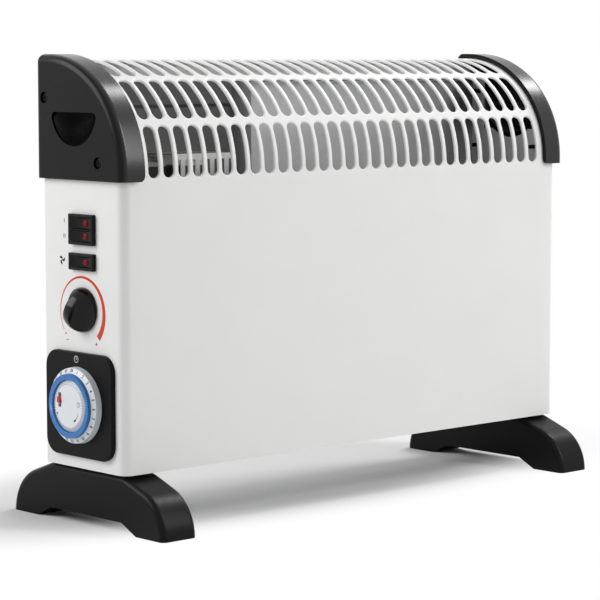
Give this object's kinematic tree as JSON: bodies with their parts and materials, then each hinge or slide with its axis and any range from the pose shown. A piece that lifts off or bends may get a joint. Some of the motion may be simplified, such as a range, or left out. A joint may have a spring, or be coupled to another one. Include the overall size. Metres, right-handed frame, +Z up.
{
  "type": "free-standing electric convector heater",
  "caption": "Free-standing electric convector heater: slotted steel casing on arched feet, end caps with hand recesses, switches, thermostat knob and day timer on one end.",
  "frame": {"origin": "on the floor under the middle of the overall box", "axes": "+X along the casing away from the controls, -Y towards the front, +Z up"},
  "size_m": [0.54, 0.201, 0.3868],
  "materials": {
    "white_painted_steel": "satin powder coat",
    "bright_sheet": "galvanised",
    "black_moulding": "satin, finely grained",
    "black_control": "semi-gloss",
    "red_lens": "glossy",
    "white_moulding": "satin",
    "blue_moulding": "satin",
    "screw_steel": "zinc plated",
    "insulating_board": "mica",
    "resistance_ribbon": "oxidised",
    "laminations": "stacked sheet",
    "winding": "enamelled copper",
    "terminal_brass": "bright",
    "dark_moulding": "thermoset"
  },
  "bodies": {
    "heater": {"front_casing": "white_painted_steel", "back_panel": "white_painted_steel", "base_plate": "bright_sheet", "left_end_cap": "black_moulding", "right_end_cap": "black_moulding", "left_foot": "black_moulding", "right_foot": "black_moulding", "end_cap_screws": "screw_steel", "foot_screws": "screw_steel", "back_panel_screws": "screw_steel", "inner_screws": "screw_steel", "control_partition": "bright_sheet", "heat_shield": "bright_sheet", "front_element_board": "insulating_board", "rear_element_board": "insulating_board", "front_element_ribbon": "resistance_ribbon", "rear_element_ribbon": "resistance_ribbon", "left_element_bracket": "bright_sheet", "right_element_bracket": "bright_sheet", "fan_guard": "bright_sheet", "fan_motor_core": "laminations", "fan_motor_coil": "winding", "fan_motor_bridges": "terminal_brass", "thermal_cutout": "dark_moulding", "terminal_block": "dark_moulding", "cord_gland": "black_moulding", "gland_nut": "black_moulding", "heat_switch_housing": "black_control", "fan_switch_housing": "black_control", "switch_terminals": "terminal_brass", "thermostat_body": "dark_moulding", "thermostat_nut": "screw_steel", "timer_plate": "black_moulding", "timer_body": "white_moulding", "timer_motor": "laminations", "timer_centre_disc": "white_moulding"},
    "upper_heat_rocker": {"heat_rocker_upper": "black_control", "heat_lens_upper": "red_lens"},
    "lower_heat_rocker": {"heat_rocker_lower": "black_control", "heat_lens_lower": "red_lens"},
    "fan_rocker": {"fan_rocker": "black_control", "fan_rocker_lens": "red_lens"},
    "knob": {"thermostat_knob": "black_control", "thermostat_shaft": "screw_steel"},
    "dial": {"timer_dial": "white_moulding"},
    "selector": {"timer_selector": "red_lens"},
    "fan_rotor": {"fan_shaft": "screw_steel", "fan_impeller": "dark_moulding"},
    "tappets_01": {"timer_tappets_01": "blue_moulding"},
    "tappets_02": {"timer_tappets_02": "blue_moulding"},
    "tappets_03": {"timer_tappets_03": "blue_moulding"},
    "tappets_04": {"timer_tappets_04": "blue_moulding"},
    "tappets_05": {"timer_tappets_05": "blue_moulding"},
    "tappets_06": {"timer_tappets_06": "blue_moulding"},
    "tappets_07": {"timer_tappets_07": "blue_moulding"},
    "tappets_08": {"timer_tappets_08": "blue_moulding"}
  },
  "joints": [
    {"name": "upper_heat_rocker_tip", "type": "hinge", "parent": "heater", "child": "upper_heat_rocker", "pos_m": [-0.24825, -0.0044, 0.25017], "axis": [0, 0, 1], "range_deg": [-16, 0]},
    {"name": "lower_heat_rocker_tip", "type": "hinge", "parent": "heater", "child": "lower_heat_rocker", "pos_m": [-0.24825, -0.0044, 0.23963], "axis": [0, 0, 1], "range_deg": [-16, 0]},
    {"name": "fan_rocker_tip", "type": "hinge", "parent": "heater", "child": "fan_rocker", "pos_m": [-0.24825, -0.0044, 0.21859], "axis": [0, 0, 1], "range_deg": [-16, 0]},
    {"name": "knob_turn", "type": "hinge", "parent": "heater", "child": "knob", "pos_m": [-0.25225, -0.0034, 0.1793], "axis": [1, 0, 0], "range_deg": [-162, 108]},
    {"name": "dial_turn", "type": "hinge", "parent": "heater", "child": "dial", "pos_m": [-0.25225, -0.0006, 0.10099], "axis": [1, 0, 0], "continuous": true},
    {"name": "tappets_01_push", "type": "slide", "parent": "dial", "child": "tappets_01", "axis": [1, 0, 0], "range_m": [0, 0.002]},
    {"name": "tappets_02_push", "type": "slide", "parent": "dial", "child": "tappets_02", "axis": [1, 0, 0], "range_m": [0, 0.002]},
    {"name": "tappets_03_push", "type": "slide", "parent": "dial", "child": "tappets_03", "axis": [1, 0, 0], "range_m": [0, 0.002]},
    {"name": "tappets_04_push", "type": "slide", "parent": "dial", "child": "tappets_04", "axis": [1, 0, 0], "range_m": [0, 0.002]},
    {"name": "tappets_05_push", "type": "slide", "parent": "dial", "child": "tappets_05", "axis": [1, 0, 0], "range_m": [0, 0.002]},
    {"name": "tappets_06_push", "type": "slide", "parent": "dial", "child": "tappets_06", "axis": [1, 0, 0], "range_m": [0, 0.002]},
    {"name": "tappets_07_push", "type": "slide", "parent": "dial", "child": "tappets_07", "axis": [1, 0, 0], "range_m": [0, 0.002]},
    {"name": "tappets_08_push", "type": "slide", "parent": "dial", "child": "tappets_08", "axis": [1, 0, 0], "range_m": [0, 0.002]},
    {"name": "selector_slide", "type": "slide", "parent": "heater", "child": "selector", "axis": [0, 0, 1], "range_m": [-0.0036, 0.0036]},
    {"name": "fan_spin", "type": "hinge", "parent": "heater", "child": "fan_rotor", "pos_m": [-0.11225, 0.0274, 0.2665], "axis": [0, 1, 0], "continuous": true}
  ]
}
